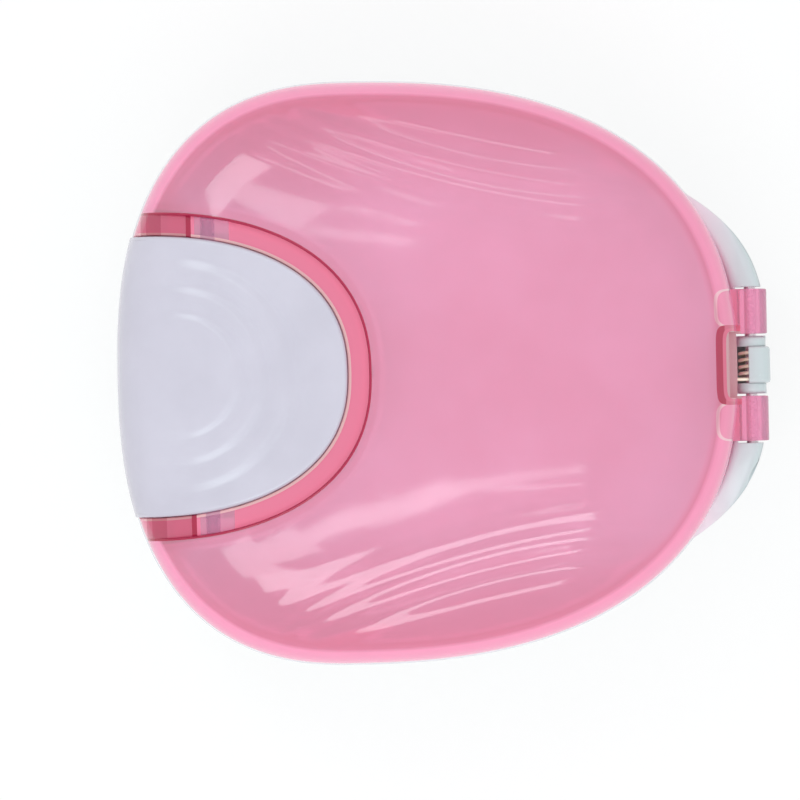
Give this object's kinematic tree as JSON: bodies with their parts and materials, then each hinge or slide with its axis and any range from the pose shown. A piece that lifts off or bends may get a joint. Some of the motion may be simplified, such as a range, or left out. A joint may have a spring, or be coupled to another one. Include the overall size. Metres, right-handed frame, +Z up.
{
  "type": "denture case",
  "caption": "Egg-shaped pocket denture case: white tray, clear pink domed lid on a sprung rear hinge, and a rocker push button that unlatches the lid.",
  "frame": {"origin": "centre of the bounding box in plan, on the surface that the tray stands on", "axes": "+Z up, +Y towards the hinge, -Y towards the push button, +X to the case's left-right"},
  "size_m": [0.082, 0.0914, 0.041],
  "materials": {
    "white_plastic": "glossy",
    "button_plastic": "glossy",
    "clear_pink": "clear, glossy",
    "spring_steel": "bright wire",
    "pin_steel": "ground"
  },
  "bodies": {
    "tray_body": {"tray": "white_plastic", "hinge_pin": "pin_steel", "hinge_spring": "spring_steel", "button_spring": "spring_steel"},
    "lid_body": {"lid": "clear_pink"},
    "button_body": {"push_button": "button_plastic"}
  },
  "joints": [
    {"name": "lid_hinge", "type": "hinge", "parent": "tray_body", "child": "lid_body", "pos_m": [0, 0.04305, 0.022], "axis": [-1, 0, 0], "range_deg": [0, 105], "deforming": ["hinge_spring"]},
    {"name": "button_pivot", "type": "hinge", "parent": "tray_body", "child": "button_body", "pos_m": [0, -0.0326, 0.032], "axis": [1, 0, 0], "range_deg": [0, 6], "stiffness_Nm_per_rad": 0.12, "deforming": ["button_spring"]}
  ]
}
